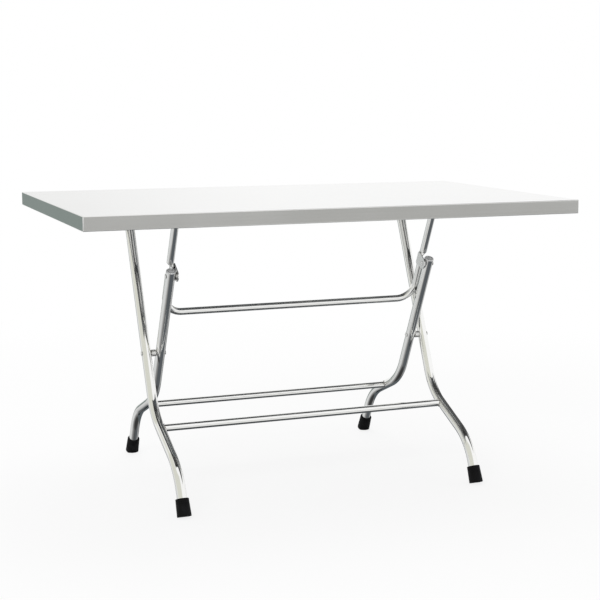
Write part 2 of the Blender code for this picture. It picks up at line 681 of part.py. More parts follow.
make_table_top()
make_rail("rear_hinge_rail", FRONT_HINGE, FRONT_LEG_X, LEG_RADIUS)
make_rail("front_hinge_rail", LOCK_HINGE, LOCK_ARM_X, THIN_RADIUS)
for side_name, side in SIDES:
    make_bracket("front_leg_bracket_" + side_name, side * FRONT_LEG_X, FRONT_HINGE, LEG_RADIUS)
    make_bracket("lock_frame_bracket_" + side_name, side * LOCK_ARM_X, LOCK_HINGE, THIN_RADIUS)
    make_hinge_pin("front_leg_pin_" + side_name, side * FRONT_LEG_X, FRONT_HINGE, LEG_RADIUS)
    make_hinge_pin("lock_frame_pin_" + side_name, side * LOCK_ARM_X, LOCK_HINGE, THIN_RADIUS)
for number, rivet_x in enumerate(rivet_places(FRONT_LEG_X, LEG_RADIUS), 1):
    make_bracket_rivet("rear_bracket_rivet_" + str(number), rivet_x, FRONT_HINGE.y)
for number, rivet_x in enumerate(rivet_places(LOCK_ARM_X, THIN_RADIUS), 1):
    make_bracket_rivet("front_bracket_rivet_" + str(number), rivet_x, LOCK_HINGE.y)

# Layouts of the two kinds of leg, and a block that cuts the rubber feet level with the floor

front_layout = leg_layout(FRONT_DOWN, FRONT_OUT, FRONT_HINGE, -FRONT_FOOT_REACH, FRONT_FOOT_STRAIGHT)
rear_layout = leg_layout(REAR_DOWN, REAR_OUT, LOCK_PIVOT, REAR_FOOT_REACH, REAR_FOOT_STRAIGHT)
front_path = leg_path(front_layout, FRONT_LEG_HEAD)
rear_path = leg_path(rear_layout, REAR_LEG_HEAD)
below_floor = box_mesh("below_floor", (TABLE_LENGTH, TABLE_LENGTH, TABLE_HEIGHT))
floor_block = add_cutter("below_floor", below_floor, None, (0, 0, -TABLE_HEIGHT / 2))
crossing = crossing_place()

# Front legs, hinged to the rear rail

for side_name, side in SIDES:
    leg = make_leg("front_leg_" + side_name, front_path, FRONT_LEG_X, side, front_axis)
    bore(leg, (0, 0, 0), HINGE_PIN_DIAMETER, LEG_TUBE_DIAMETER + CUT_OVERRUN)
    bore(leg, crossing - FRONT_HINGE, PIVOT_PIN_DIAMETER, LEG_TUBE_DIAMETER + CUT_OVERRUN)
    make_foot("front_foot_" + side_name, front_layout, FRONT_LEG_X, side, front_axis, floor_block)
    make_crossing_rivet("crossing_rivet_outer_" + side_name, FRONT_LEG_OUTER_X + RUNNING_GAP,
                        REAR_LEG_OUTER_X + RUNNING_GAP, side, crossing - FRONT_HINGE, front_axis)
    make_ring("crossing_spacer_" + side_name, SPACER_DIAMETER, REAR_LEG_OUTER_X + RUNNING_GAP,
              FRONT_LEG_INNER_X - RUNNING_GAP, "bracket", side, crossing - FRONT_HINGE, front_axis)
front_bar = front_layout["first_end"] + front_layout["run"] * FRONT_CROSSBAR_PAST_BEND
make_crossbar("front_crossbar", front_bar, front_path, FRONT_LEG_X, front_axis)

# Lock frame, hinged to the front rail

make_lock_tube(lock_axis)
for side_name, side in SIDES:
    make_lock_plate("lock_plate_" + side_name, side, lock_axis)
    rivet_middle = Vector((side * (REAR_LEG_OUTER_X + LOCK_PLATE_INNER_X) / 2, 0, 0))
    rivet_half = (REAR_LEG_OUTER_X - LOCK_PLATE_INNER_X) / 2 + RUNNING_GAP
    make_two_headed_pin("lock_pivot_rivet_" + side_name, rivet_half, PIVOT_PIN_DIAMETER,
                        (PIVOT_HEAD_DIAMETER, PIVOT_HEAD_HEIGHT), HINGE_TO_PIVOT + rivet_middle, lock_axis)
    make_ring("lock_pivot_washer_" + side_name, WASHER_DIAMETER, WASHER_INNER_X,
              REAR_LEG_INNER_X - RUNNING_GAP, "rivet", side, HINGE_TO_PIVOT, lock_axis)

# Rear legs, hinged on the lock frame's pivot plates

for side_name, side in SIDES:
    leg = make_leg("rear_leg_" + side_name, rear_path, REAR_LEG_X, side, rear_axis)
    bore(leg, (0, 0, 0), PIVOT_PIN_DIAMETER, LEG_TUBE_DIAMETER + CUT_OVERRUN)
    bore(leg, crossing - LOCK_PIVOT, PIVOT_PIN_DIAMETER, LEG_TUBE_DIAMETER + CUT_OVERRUN)
    make_foot("rear_foot_" + side_name, rear_layout, REAR_LEG_X, side, rear_axis, floor_block)
    make_crossing_rivet("crossing_rivet_inner_" + side_name, REAR_LEG_INNER_X - RUNNING_GAP,
                        REAR_LEG_OUTER_X, side, crossing - LOCK_PIVOT, rear_axis)
    make_plug("rear_leg_plug_" + side_name, side, rear_axis)
    make_stop("lock_stop_" + side_name, side, rear_axis)
rear_bar = rear_layout["second_start"] - rear_layout["run"] * REAR_CROSSBAR_BEFORE_BEND
make_crossbar("rear_crossbar", rear_bar, rear_path, REAR_LEG_X, rear_axis)
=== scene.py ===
import math

import bmesh
import bpy
from mathutils import Matrix, Vector


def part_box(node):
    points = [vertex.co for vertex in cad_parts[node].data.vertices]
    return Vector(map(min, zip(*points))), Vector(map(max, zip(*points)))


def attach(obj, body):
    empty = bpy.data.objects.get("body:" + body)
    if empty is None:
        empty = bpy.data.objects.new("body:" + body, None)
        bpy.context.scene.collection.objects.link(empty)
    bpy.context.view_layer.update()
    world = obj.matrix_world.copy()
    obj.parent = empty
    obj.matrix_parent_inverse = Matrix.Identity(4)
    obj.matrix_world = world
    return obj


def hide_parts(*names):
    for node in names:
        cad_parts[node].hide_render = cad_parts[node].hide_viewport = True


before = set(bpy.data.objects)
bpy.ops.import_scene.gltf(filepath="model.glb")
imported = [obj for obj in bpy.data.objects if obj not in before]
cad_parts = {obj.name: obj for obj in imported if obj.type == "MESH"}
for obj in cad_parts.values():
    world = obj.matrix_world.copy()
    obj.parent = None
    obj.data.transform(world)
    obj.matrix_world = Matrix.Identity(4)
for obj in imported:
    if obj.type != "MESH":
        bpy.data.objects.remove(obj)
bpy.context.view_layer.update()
print("frame loaded:", len(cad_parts), "nodes")

sides = (("left", -1), ("right", 1))
seatGap = 0.0003  # between pieces that are welded to or seated on each other
sharpAngle = 40  # degrees of turn from which an edge counts as sharp


def both(stem):
    return [stem + sideName for sideName, side in sides]


# helpers for shader and geometry trees

def feed(tree, socket, value):
    # a socket is linked, a number or vector goes in as it is, and a colour is given as three numbers
    if isinstance(value, bpy.types.NodeSocket):
        tree.links.new(value, socket)
    else:
        socket.default_value = (*value, 1) if socket.type == "RGBA" else value


def addNode(tree, kind, inputs=None, **settings):
    node = tree.nodes.new(kind)
    for key, value in settings.items():
        setattr(node, key, value)
    for key, value in (inputs or {}).items():
        feed(tree, node.inputs[key], value)
    return node


def calc(tree, operation, *values):
    return addNode(tree, "ShaderNodeMath", dict(enumerate(values)), operation=operation).outputs[0]


def stepBetween(tree, value, low, high, start=0.0, end=1.0):
    inputs = {"Value": value, "From Min": low, "From Max": high, "To Min": start, "To Max": end}
    return addNode(tree, "ShaderNodeMapRange", inputs, interpolation_type="SMOOTHSTEP").outputs["Result"]


def mixColors(tree, share, first, second):
    return addNode(tree, "ShaderNodeMix", {0: share, 6: first, 7: second}, data_type="RGBA").outputs[2]


def noise(tree, vector, scale, detail=2.0, roughness=0.5):
    inputs = {"Vector": vector, "Scale": scale, "Detail": detail, "Roughness": roughness}
    return addNode(tree, "ShaderNodeTexNoise", inputs).outputs[0]


# finishes

def newFinish(name, metallic, roughness, color):
    material = bpy.data.materials.new(name)
    material.use_nodes = True
    tree = material.node_tree
    shader = tree.nodes["Principled BSDF"]
    for label, value in (("Metallic", metallic), ("Roughness", roughness), ("Base Color", color)):
        feed(tree, shader.inputs[label], value)
    return material, tree, shader, addNode(tree, "ShaderNodeTexCoord").outputs["Object"]


def addBump(tree, shader, height, look):
    inputs = {"Height": height, "Strength": look["bump"], "Distance": look["bumpDepth"]}
    feed(tree, shader.inputs["Normal"], addNode(tree, "ShaderNodeBump", inputs).outputs["Normal"])


finishes = {
    "sheetSteel": {
        "color": (0.80, 0.80, 0.785), "colorEnd": (0.84, 0.84, 0.83), "roughness": (0.07, 0.13),
        "lineScale": (2.0, 900.0, 900.0), "cloudScale": 5.0, "bump": 0.10, "bumpDepth": 0.00002},
    "foldedSteel": {
        "color": (0.40, 0.40, 0.395), "colorEnd": (0.48, 0.48, 0.475), "roughness": (0.30, 0.42),
        "lineScale": (3.0, 700.0, 700.0), "cloudScale": 9.0, "bump": 0.25, "bumpDepth": 0.00003},
    "polishedTube": {
        "color": (0.89, 0.89, 0.875), "colorEnd": (0.93, 0.93, 0.92), "roughness": (0.04, 0.09),
        "lineScale": (60.0, 60.0, 900.0), "cloudScale": 14.0, "bump": 0.04, "bumpDepth": 0.00002},
    "sheetUnderside": {
        "color": (0.82, 0.82, 0.81), "colorEnd": (0.88, 0.88, 0.87), "roughness": (0.16, 0.26),
        "lineScale": (2.0, 700.0, 700.0), "cloudScale": 7.0, "bump": 0.08, "bumpDepth": 0.00003},
    "turnedSteel": {
        "color": (0.86, 0.86, 0.85), "colorEnd": (0.92, 0.92, 0.91), "roughness": (0.44, 0.56),
        "lineScale": (900.0, 90.0, 90.0), "cloudScale": 90.0, "bump": 0.10, "bumpDepth": 0.00002},
    "pressedSteel": {
        "color": (0.80, 0.80, 0.79), "colorEnd": (0.88, 0.88, 0.87), "roughness": (0.18, 0.30),
        "lineScale": (120.0, 120.0, 500.0), "cloudScale": 60.0, "bump": 0.15, "bumpDepth": 0.00003},
    "rivetSteel": {
        "color": (0.80, 0.80, 0.79), "colorEnd": (0.86, 0.86, 0.85), "roughness": (0.22, 0.34),
        "lineScale": (400.0, 400.0, 400.0), "cloudScale": 120.0, "bump": 0.10, "bumpDepth": 0.00002},
}
noiseSpan = (0.3, 0.7)  # the part of a noise's range over which roughness and colour change
grainDetail = 3.0  # octaves of noise in fine lines and in grain


def steelFinish(name, look):
    # rolled or polished steel: fine lines along one direction over slow, wide unevenness
    material, tree, shader, coordinates = newFinish(name, 1.0, look["roughness"][0], look["color"])
    along = addNode(tree, "ShaderNodeMapping", {"Vector": coordinates, "Scale": look["lineScale"]})
    lines = noise(tree, along.outputs["Vector"], 1.0, grainDetail, roughness=0.6)
    cloud = noise(tree, coordinates, look["cloudScale"])
    blend = calc(tree, "MULTIPLY", calc(tree, "ADD", lines, cloud), 0.5)
    tone = stepBetween(tree, blend, *noiseSpan)
    feed(tree, shader.inputs["Roughness"], stepBetween(tree, blend, *noiseSpan, *look["roughness"]))
    feed(tree, shader.inputs["Base Color"], mixColors(tree, tone, look["color"], look["colorEnd"]))
    addBump(tree, shader, lines, look)
    return material


weldLook = {"color": (0.50, 0.47, 0.42), "tint": (0.40, 0.42, 0.47), "roughness": 0.30, "tintScale": 160.0,
            "tintSpan": (0.35, 0.65), "grain": 900.0, "bump": 0.4, "bumpDepth": 0.0001}
rubberLook = {"color": (0.0035, 0.0035, 0.0040), "worn": (0.0090, 0.0093, 0.0105), "roughness": (0.46, 0.62),
              "specular": 0.12, "grain": 1500.0, "bump": 0.35, "bumpDepth": 0.0001}
plugLook = {"color": (0.86, 0.87, 0.87), "worn": (0.92, 0.92, 0.92), "roughness": (0.16, 0.28),
            "specular": 0.7, "grain": 1100.0, "bump": 0.35, "bumpDepth": 0.00005}
wear = {"scale": 45.0, "detail": 4.0, "roughness": 0.6, "span": (0.4, 0.75)}


def weldFinish(name, look):
    material, tree, shader, coordinates = newFinish(name, 1.0, look["roughness"], look["color"])
    tint = stepBetween(tree, noise(tree, coordinates, look["tintScale"]), *look["tintSpan"])
    feed(tree, shader.inputs["Base Color"], mixColors(tree, tint, look["color"], look["tint"]))
    addBump(tree, shader, noise(tree, coordinates, look["grain"], grainDetail), look)
    return material


def mouldedFinish(name, look):
    # rubber or plastic with a fine moulded grain, a little greyer where it is rubbed
    material, tree, shader, coordinates = newFinish(name, 0.0, look["roughness"][0], look["color"])
    shader.inputs["Specular IOR Level"].default_value = look["specular"]
    cloud = noise(tree, coordinates, wear["scale"], wear["detail"], wear["roughness"])
    tone = stepBetween(tree, cloud, *wear["span"])
    feed(tree, shader.inputs["Base Color"], mixColors(tree, tone, look["color"], look["worn"]))
    feed(tree, shader.inputs["Roughness"], stepBetween(tree, cloud, *noiseSpan, *look["roughness"]))
    addBump(tree, shader, noise(tree, coordinates, look["grain"], grainDetail), look)
    return material


steel = {name: steelFinish(name, look) for name, look in finishes.items()}
weldSteel = weldFinish("weldSteel", weldLook)
blackRubber = mouldedFinish("blackRubber", rubberLook)
greyPlug = mouldedFinish("greyPlug", plugLook)
print("finishes made:", len(steel) + 3)


# turning shapes into finished pieces

def addObject(name, data):
    made = bpy.data.objects.new(name, data)
    bpy.context.scene.collection.objects.link(made)
    return made


def bakedMesh(holder):
    # the object's mesh with its modifiers worked in, and the object gone
    bpy.context.view_layer.update()
    evaluated = holder.evaluated_get(bpy.context.evaluated_depsgraph_get())
    mesh = bpy.data.meshes.new_from_object(evaluated)
    bpy.data.objects.remove(holder, do_unlink=True)
    return mesh


def meshFrom(shape, name):
    mesh = bpy.data.meshes.new(name)
    shape.to_mesh(mesh)
    shape.free()
    return mesh


def hollowed(mesh, name, wall, innerFinish=0):
    # a wall grown inwards, whose inner skin may take another of the mesh's finishes
    holder = addObject(name, mesh)
    skin = holder.modifiers.new("wall", "SOLIDIFY")
    skin.thickness = wall
    skin.offset = -1.0
    skin.use_even_offset = True
    skin.material_offset = innerFinish
    return bakedMesh(holder)


def eased(mesh, name, width, segments):
    # sharp edges rounded off, with the flats kept flat
    holder = addObject(name, mesh)
    edge = holder.modifiers.new("edges", "BEVEL")
    edge.width = width
    edge.segments = segments
    edge.limit_method = "ANGLE"
    edge.angle_limit = math.radians(sharpAngle)
    flats = holder.modifiers.new("flats", "WEIGHTED_NORMAL")
    flats.keep_sharp = True
    return bakedMesh(holder)


def addPiece(name, mesh, body, material, nodes=(), smooth=sharpAngle):
    # no material means that the mesh brings its own, and no smoothing that it keeps its own normals
    if material is not None:
        mesh.materials.clear()
        mesh.materials.append(material)
    if smooth:
        mesh.shade_smooth()
        mesh.set_sharp_from_angle(angle=math.radians(smooth))
    piece = addObject(name, mesh)
    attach(piece, body)
    if nodes:
        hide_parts(*nodes)


def vertsOf(made):
    return [item for item in made["geom"] if isinstance(item, bmesh.types.BMVert)]


def newBox(size, place):
    shape = bmesh.new()
    bmesh.ops.create_cube(shape, size=1.0)
    bmesh.ops.scale(shape, vec=size, verts=shape.verts)
    bmesh.ops.translate(shape, vec=place, verts=shape.verts)
    return shape


def extrudedMesh(name, outline, shift):
    # a plate between an outline of points and the same outline moved by a shift
    shape = bmesh.new()
    face = shape.faces.new([shape.verts.new(point) for point in outline])
    made = bmesh.ops.extrude_face_region(shape, geom=[face])
    bmesh.ops.translate(shape, vec=shift, verts=vertsOf(made))
    bmesh.ops.recalc_face_normals(shape, faces=shape.faces)
    return meshFrom(shape, name)


def turnedMesh(name, profile, steps, place=None):
    # a turned shape round Z from (radius, height) pairs, top to bottom, closed where the radius is 0
    shape = bmesh.new()
    turns = [math.tau * k / steps for k in range(steps)]
    rings = [[shape.verts.new((radius * math.cos(turn), radius * math.sin(turn), height))
              for turn in (turns if radius else turns[:1])] for radius, height in profile]
    if len(rings[0]) > 1 and len(rings[-1]) > 1:  # a ring shape closes on itself
        rings.append(rings[0])
    for upper, lower in zip(rings, rings[1:]):
        for k in range(steps):
            corners = ((upper, k), (lower, k), (lower, k + 1), (upper, k + 1))
            shape.faces.new(dict.fromkeys(ring[turn % len(ring)] for ring, turn in corners))
    bmesh.ops.recalc_face_normals(shape, faces=shape.faces)
    mesh = meshFrom(shape, name)
    if place is not None:
        mesh.transform(place)
    return mesh


def arcProfile(center, radius, start, end, steps):
    # points of an arc in degrees, as (radius, height) pairs
    points = []
    for step in range(steps + 1):
        angle = math.radians(start + (end - start) * step / steps)
        points.append((center[0] + radius * math.cos(angle), center[1] + radius * math.sin(angle)))
    return points


def domeProfile(radius, height, base, steps):
    # from the crown of a dome, which hangs down where its height is below 0, out to its rim
    angles = [math.radians(90 * (1 - step / steps)) for step in range(1, steps + 1)]
    return [(0, base + height)] + [(radius * math.cos(a), base + height * math.sin(a)) for a in angles]


def placeAlong(direction, location):
    # turns +Z into a direction and moves the origin to a place
    turned = Vector(direction).to_track_quat("Z", "Y").to_matrix().to_4x4()
    return Matrix.Translation(Vector(location)) @ turned


def merged(meshes, name):
    shape = bmesh.new()
    for mesh in meshes:
        shape.from_mesh(mesh)
    return meshFrom(shape, name)


# geometry trees: a tube swept along a path, a rippled weld bead, and pieces set on points

def newTree(name, *inputs):
    tree = bpy.data.node_groups.new(name, "GeometryNodeTree")
    for label, kind in (("Geometry", "Geometry"), *inputs, ("Material", "Material")):
        tree.interface.new_socket(name=label, in_out="INPUT", socket_type="NodeSocket" + kind)
    tree.interface.new_socket(name="Geometry", in_out="OUTPUT", socket_type="NodeSocketGeometry")
    return tree, addNode(tree, "NodeGroupInput").outputs


def closeTree(tree, entry, geometry):
    # the shared end of every tree: real faces with their material
    real = addNode(tree, "GeometryNodeRealizeInstances", {"Geometry": geometry}).outputs["Geometry"]
    paint = addNode(tree, "GeometryNodeSetMaterial", {"Geometry": real, "Material": entry["Material"]})
    addNode(tree, "NodeGroupOutput", {"Geometry": paint.outputs["Geometry"]})
    return tree


def makeTubeTree():
    tree, entry = newTree("sweptTube", ("Radius", "Float"), ("Sides", "Int"))
    path = addNode(tree, "GeometryNodeMeshToCurve", {"Mesh": entry["Geometry"]})
    inputs = {"Resolution": entry["Sides"], "Radius": entry["Radius"]}
    ring = addNode(tree, "GeometryNodeCurvePrimitiveCircle", inputs)
    inputs = {"Curve": path.outputs["Curve"], "Profile Curve": ring.outputs["Curve"]}
    return closeTree(tree, entry, addNode(tree, "GeometryNodeCurveToMesh", inputs).outputs["Mesh"])


def makeBeadTree():
    # a bead whose thickness swells and narrows once for each ripple, with slight random unevenness
    tree, entry = newTree("weldBead", ("Radius", "Float"), ("Sides", "Int"), ("Ripple", "Float"),
                          ("Swell", "Float"), ("Grain", "Float"), ("Step", "Float"), ("Seed", "Float"))
    path = addNode(tree, "GeometryNodeMeshToCurve", {"Mesh": entry["Geometry"]})
    inputs = {"Curve": path.outputs["Curve"], "Length": entry["Step"]}
    even = addNode(tree, "GeometryNodeResampleCurve", inputs, mode="LENGTH")
    inputs = {"Resolution": entry["Sides"], "Radius": entry["Radius"]}
    ring = addNode(tree, "GeometryNodeCurvePrimitiveCircle", inputs)
    distance = addNode(tree, "GeometryNodeSplineParameter").outputs["Length"]
    turns = calc(tree, "DIVIDE", distance, entry["Ripple"])
    wave = calc(tree, "SINE", calc(tree, "MULTIPLY", turns, math.tau))
    inputs = {"W": calc(tree, "ADD", distance, entry["Seed"]), "Scale": entry["Grain"]}
    grain = addNode(tree, "ShaderNodeTexNoise", inputs, noise_dimensions="1D").outputs[0]
    uneven = calc(tree, "MULTIPLY", calc(tree, "SUBTRACT", grain, 0.5), 0.5)
    size = calc(tree, "ADD", calc(tree, "MULTIPLY", wave, entry["Swell"]), calc(tree, "ADD", uneven, 1.0))
    inputs = {"Curve": even.outputs["Curve"], "Profile Curve": ring.outputs["Curve"], "Scale": size,
              "Fill Caps": True}
    return closeTree(tree, entry, addNode(tree, "GeometryNodeCurveToMesh", inputs).outputs["Mesh"])


def makeSetTree():
    # one shape set on every point and turned so that its +Z follows the point's headAxis
    tree, entry = newTree("setOnPoints", ("Shape", "Object"), ("Size", "Float"))
    shape = addNode(tree, "GeometryNodeObjectInfo", {"Object": entry["Shape"]})
    heading = addNode(tree, "GeometryNodeInputNamedAttribute", {"Name": "headAxis"}, data_type="FLOAT_VECTOR")
    inputs = {"Vector": heading.outputs["Attribute"]}
    turn = addNode(tree, "FunctionNodeAlignRotationToVector", inputs, axis="Z")
    inputs = {"Points": entry["Geometry"], "Instance": shape.outputs["Geometry"],
              "Rotation": turn.outputs["Rotation"], "Scale": entry["Size"]}
    return closeTree(tree, entry, addNode(tree, "GeometryNodeInstanceOnPoints", inputs).outputs["Instances"])


tubeTree = makeTubeTree()
beadTree = makeBeadTree()
setTree = makeSetTree()


def runTree(name, mesh, tree, values):
    holder = addObject(name, mesh)
    modifier = holder.modifiers.new(tree.name, "NODES")
    modifier.node_group = tree
    for item in tree.interface.items_tree:
        if item.in_out == "INPUT" and item.name in values:
            modifier[item.identifier] = values[item.name]
    return bakedMesh(holder)


def pathMesh(name, points, closed=False):
    edges = [(k, k + 1) for k in range(len(points) - 1)]
    if closed:
        edges.append((len(points) - 1, 0))
    mesh = bpy.data.meshes.new(name)
    mesh.from_pydata([tuple(point) for point in points], edges, [])
    return mesh


def sweptTube(name, points, tube):
    values = {"Radius": tube["diameter"] / 2, "Sides": tube["around"], "Material": steel["polishedTube"]}
    return runTree(name, pathMesh(name, points), tubeTree, values)


def weldBead(name, points, closed, seed):
    values = {"Radius": weldLine["radius"], "Sides": weldLine["sides"], "Ripple": weldLine["ripple"],
              "Swell": weldLine["swell"], "Grain": weldLine["grain"], "Step": weldLine["step"], "Seed": seed,
              "Material": weldSteel}
    return runTree(name, pathMesh(name, points, closed), beadTree, values)


def setOnPoints(name, shapeMesh, spots, material):
    # spots are pairs of a place and the direction that the shape's +Z takes there
    mesh = bpy.data.meshes.new(name)
    mesh.from_pydata([tuple(place) for place, heading in spots], [], [])
    headings = mesh.attributes.new("headAxis", "FLOAT_VECTOR", "POINT")
    headings.data.foreach_set("vector", [number for place, heading in spots for number in heading])
    shape = addObject(name + "Shape", shapeMesh)
    made = runTree(name, mesh, setTree, {"Shape": shape, "Size": 1.0, "Material": material})
    bpy.data.objects.remove(shape, do_unlink=True)
    return made


# the sheet top: one sheet folded down on four sides, turned in under the edge, seamed at its corners

sheetTop = {"length": 1.300, "depth": 0.750, "height": 0.750, "sheet": 0.0012, "edgeDepth": 0.035,
            "foldRadius": 0.0017, "foldSteps": 7, "lip": 0.018, "seamDepth": 0.0005, "seamEdge": 0.00004,
            "flatMargin": 0.0007}
# how its faces and edges are told apart: degrees, square metres, metres, and a share of a normal
foldAngle, flatArea, seamWidth, seamFacing = 45, 0.005, 0.0002, 0.02


def makeSheetTop(look):
    middleZ = look["height"] - look["edgeDepth"] / 2
    shape = newBox((look["length"], look["depth"], look["edgeDepth"]), (0, 0, middleZ))
    shape.normal_update()
    bmesh.ops.delete(shape, geom=[min(shape.faces, key=lambda face: face.normal.z)], context="FACES_ONLY")
    rim = [edge for edge in shape.edges if edge.is_boundary]
    for vertex in vertsOf(bmesh.ops.extrude_edge_only(shape, edges=rim)):
        vertex.co.x -= math.copysign(look["lip"], vertex.co.x)
        vertex.co.y -= math.copysign(look["lip"], vertex.co.y)
    bmesh.ops.recalc_face_normals(shape, faces=shape.faces)
    folds = [edge for edge in shape.edges
             if edge.is_manifold and edge.calc_face_angle() > math.radians(foldAngle)]
    bmesh.ops.bevel(shape, geom=folds, offset=look["foldRadius"], segments=look["foldSteps"], profile=0.5,
                    affect="EDGES")
    shape.normal_update()
    flats = [face for face in shape.faces if face.calc_area() > flatArea]
    bmesh.ops.inset_individual(shape, faces=flats, thickness=look["flatMargin"], depth=0)
    shape.normal_update()
    seams = [face for face in shape.faces  # the strip halfway round each upright corner
             if abs(abs(face.normal.x) - abs(face.normal.y)) < seamFacing and abs(face.normal.z) < seamFacing
             and face.calc_area() > look["edgeDepth"] * seamWidth]
    bmesh.ops.inset_individual(shape, faces=seams, thickness=look["seamEdge"], depth=-look["seamDepth"])
    skin = meshFrom(shape, "sheetTop")
    skin.materials.append(steel["sheetSteel"])
    skin.materials.append(steel["sheetUnderside"])
    mesh = hollowed(skin, "sheetTop", look["sheet"], 1)
    addPiece("sheetTop", mesh, "tabletop", None, ["table_top"], smooth=25)


makeSheetTop(sheetTop)
print("sheet top made")


# the bent legs: straight, bend outwards, short straight, bend back, straight foot

legTube = {"diameter": 0.0254, "wall": 0.0012, "around": 48, "bendRadius": 0.150, "bend": 41.5,
           "bendSteps": 26, "straightSteps": 4, "footSole": 0.014}
frontLegs = {"body": "front_legs", "name": "frontLeg", "node": "front_leg_", "foot": "rubberFootFront",
             "footNode": "front_foot_", "x": 0.402, "lean": -25.0, "pivot": (0, 0.1852, 0.708),
             "footY": -0.3145, "footStraight": 0.0626, "head": 0.009}
rearLegs = {"body": "rear_legs", "name": "rearLeg", "node": "rear_leg_", "foot": "rubberFootRear",
            "footNode": "rear_foot_", "x": 0.364, "lean": 25.45, "pivot": (0, -0.0855, 0.563),
            "footY": 0.332, "footStraight": 0.0875, "head": 0.013}


def legLayout(leg):
    lean = math.radians(leg["lean"])
    bend = math.radians(legTube["bend"])
    down = Vector((0, math.sin(lean), -math.cos(lean)))
    out = Vector((0, math.cos(lean), math.sin(lean))) * math.copysign(1, leg["lean"])
    pivot = Vector(leg["pivot"])
    floor = Vector((0, leg["footY"], 0))
    bendAlong = legTube["bendRadius"] * math.sin(bend)
    bendAcross = legTube["bendRadius"] * (1 - math.cos(bend))
    middle = ((floor - pivot).dot(out) - 2 * bendAcross) / math.sin(bend)
    upper = (floor - pivot).dot(down) - leg["footStraight"] - 2 * bendAlong - middle * math.cos(bend)
    firstEnd = pivot + down * (upper + bendAlong) + out * bendAcross
    run = down * math.cos(bend) + out * math.sin(bend)
    return {"down": down, "out": out, "pivot": pivot, "upper": upper, "firstEnd": firstEnd, "run": run,
            "secondStart": firstEnd + run * middle, "floor": floor}


def legPath(leg, layout):
    # centre line from the head to the end inside the rubber foot, with extra points along the upper straight
    down, out, radius = layout["down"], layout["out"], legTube["bendRadius"]
    straight, bends = legTube["straightSteps"], legTube["bendSteps"]
    first = layout["pivot"] + down * layout["upper"] + out * radius
    second = layout["floor"] - down * leg["footStraight"] - out * radius
    angles = [math.radians(legTube["bend"]) * step / bends for step in range(bends + 1)]
    points = [layout["pivot"] - down * leg["head"]]
    points += [layout["pivot"] + down * layout["upper"] * k / straight for k in range(1, straight)]
    points += [first + (down * math.sin(a) - out * math.cos(a)) * radius for a in angles]
    points += [second + (out * math.cos(a) - down * math.sin(a)) * radius for a in reversed(angles)]
    return points + [layout["floor"] - down * legTube["footSole"]]


def makeLegs(leg, layout):
    for sideName, side in sides:
        name = leg["name"] + sideName.capitalize()
        shift = Vector((side * leg["x"], 0, 0))
        skin = sweptTube(name, [point + shift for point in legPath(leg, layout)], legTube)
        mesh = hollowed(skin, name, legTube["wall"])
        addPiece(name, mesh, leg["body"], None, [leg["node"] + sideName])


frontLayout = legLayout(frontLegs)
rearLayout = legLayout(rearLegs)
makeLegs(frontLegs, frontLayout)
makeLegs(rearLegs, rearLayout)
print("legs made")


# low crossbars: thin tubes whose ends meet the legs in a weld bead

thinTube = {"diameter": 0.019, "wall": 0.0012, "around": 40}
crossbars = {"frontPastBend": 0.005, "rearBeforeBend": 0.054, "steps": 8, "weldSteps": 72, "weldSeed": 0.3}
weldLine = {"radius": 0.0011, "sides": 12, "ripple": 0.0016, "swell": 0.16, "grain": 400.0, "step": 0.0004,
            "proud": 0.0004}


def saddlePoints(center, run, legX, side):
    # the closed line where a crossbar's skin meets the leg's skin, a little proud of both
    legRadius = legTube["diameter"] / 2
    radius = thinTube["diameter"] / 2 + weldLine["proud"]
    across = Vector((0, -run.z, run.y))
    points = []
    for step in range(crossbars["weldSteps"]):
        angle = math.tau * step / crossbars["weldSteps"]
        sideways = radius * math.cos(angle)
        reach = legX - math.sqrt(legRadius ** 2 - sideways ** 2) - weldLine["proud"] / 2
        points.append(center + across * sideways + run * radius * math.sin(angle)
                      + Vector((side * reach, 0, 0)))
    return points


def makeCrossbar(name, node, center, run, leg):
    steps = crossbars["steps"]
    reach = leg["x"] - legTube["diameter"] / 4
    points = [center + Vector((-reach + 2 * reach * k / steps, 0, 0)) for k in range(steps + 1)]
    addPiece(name, sweptTube(name, points, thinTube), leg["body"], None, [node])
    beads = []
    for sideName, side in sides:
        line = saddlePoints(center, run, leg["x"], side)
        beads.append(weldBead("barBead", line, True, crossbars["weldSeed"] * side))
    addPiece(name + "Welds", merged(beads, name + "Welds"), leg["body"], weldSteel)


frontBarCenter = frontLayout["firstEnd"] + frontLayout["run"] * crossbars["frontPastBend"]
rearBarCenter = rearLayout["secondStart"] - rearLayout["run"] * crossbars["rearBeforeBend"]
makeCrossbar("frontCrossbar", "front_crossbar", frontBarCenter, frontLayout["run"], frontLegs)
makeCrossbar("rearCrossbar", "rear_crossbar", rearBarCenter, rearLayout["run"], rearLegs)
print("crossbars made")


# lock frame: a thin tube bent into a U, its arms pressed flat where the pivot plates are welded on

lockFrame = {"hinge": (0, -0.1214, 0.708), "armX": 0.3585, "armLength": 0.2785, "cornerRadius": 0.048,
             "cornerSteps": 22, "head": 0.0095, "crimpFlat": 0.024, "crimpFade": 0.009, "flatten": 0.50,
             "spread": 0.18, "crimpSteps": 10}
lockHinge = Vector(lockFrame["hinge"])
lockPivot = rearLayout["pivot"]
armDown = rearLayout["down"]
armOut = rearLayout["out"]
pivotAlongArm = (lockPivot - lockHinge).dot(armDown)
armBehindPivot = -(lockPivot - lockHinge).dot(armOut)


